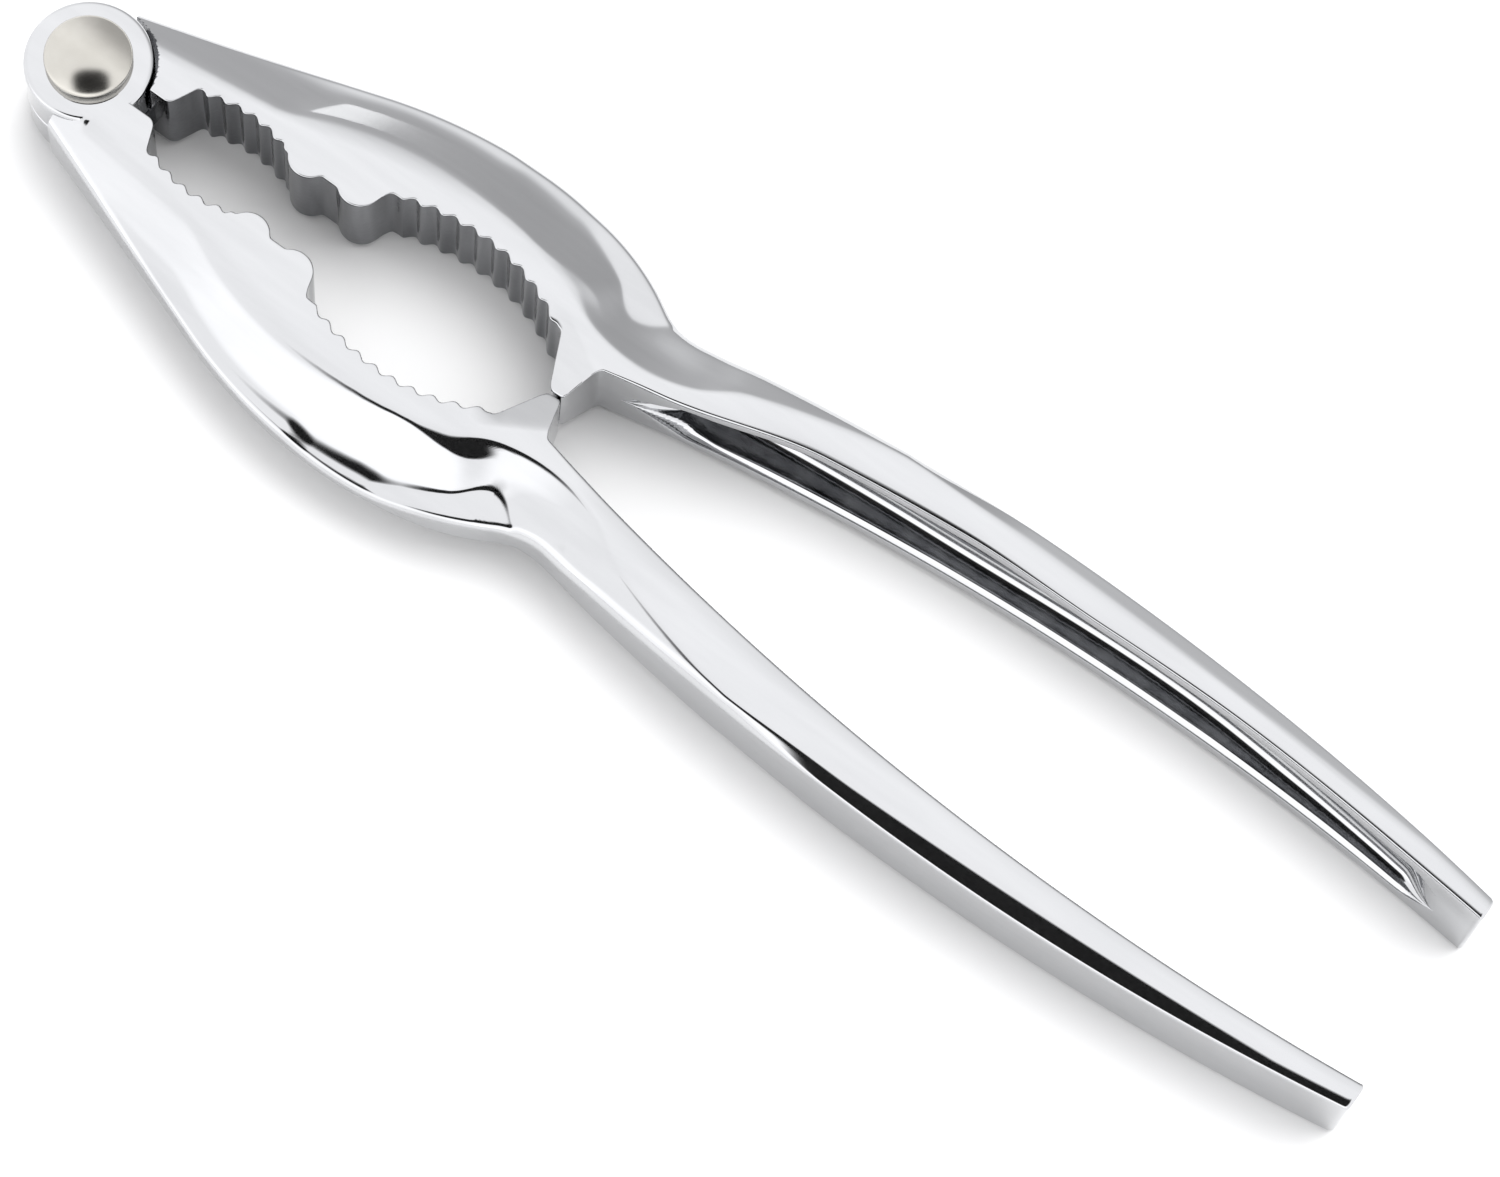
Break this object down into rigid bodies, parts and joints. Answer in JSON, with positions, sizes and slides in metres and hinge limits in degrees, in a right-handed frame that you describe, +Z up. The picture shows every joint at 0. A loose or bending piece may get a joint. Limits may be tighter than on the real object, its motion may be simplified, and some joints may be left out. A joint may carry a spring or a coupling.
{
  "type": "lever nutcracker",
  "caption": "Hand nutcracker with two riveted cast lever arms, toothed jaws with a small and a large nut cavity, and curved channel handles.",
  "frame": {"origin": "bottom centre of the closed tool's bounding box, as it lies flat", "axes": "+X from the hinge towards the handle ends, +Y towards the lower arm, +Z up along the hinge axis towards the rivet's domed head"},
  "size_m": [0.1768, 0.0406, 0.0146],
  "materials": {
    "arm_chrome": "bright chrome plate over polished die casting",
    "rivet_metal": "polished, slightly warm steel"
  },
  "bodies": {
    "lower_arm": {"lower_arm": "arm_chrome", "rivet": "rivet_metal"},
    "upper_arm": {"upper_arm": "arm_chrome"}
  },
  "joints": [
    {"name": "hinge", "type": "hinge", "parent": "lower_arm", "child": "upper_arm", "pos_m": [-0.08155, 0, 0.00665], "axis": [0, 0, -1], "range_deg": [0, 180]}
  ]
}
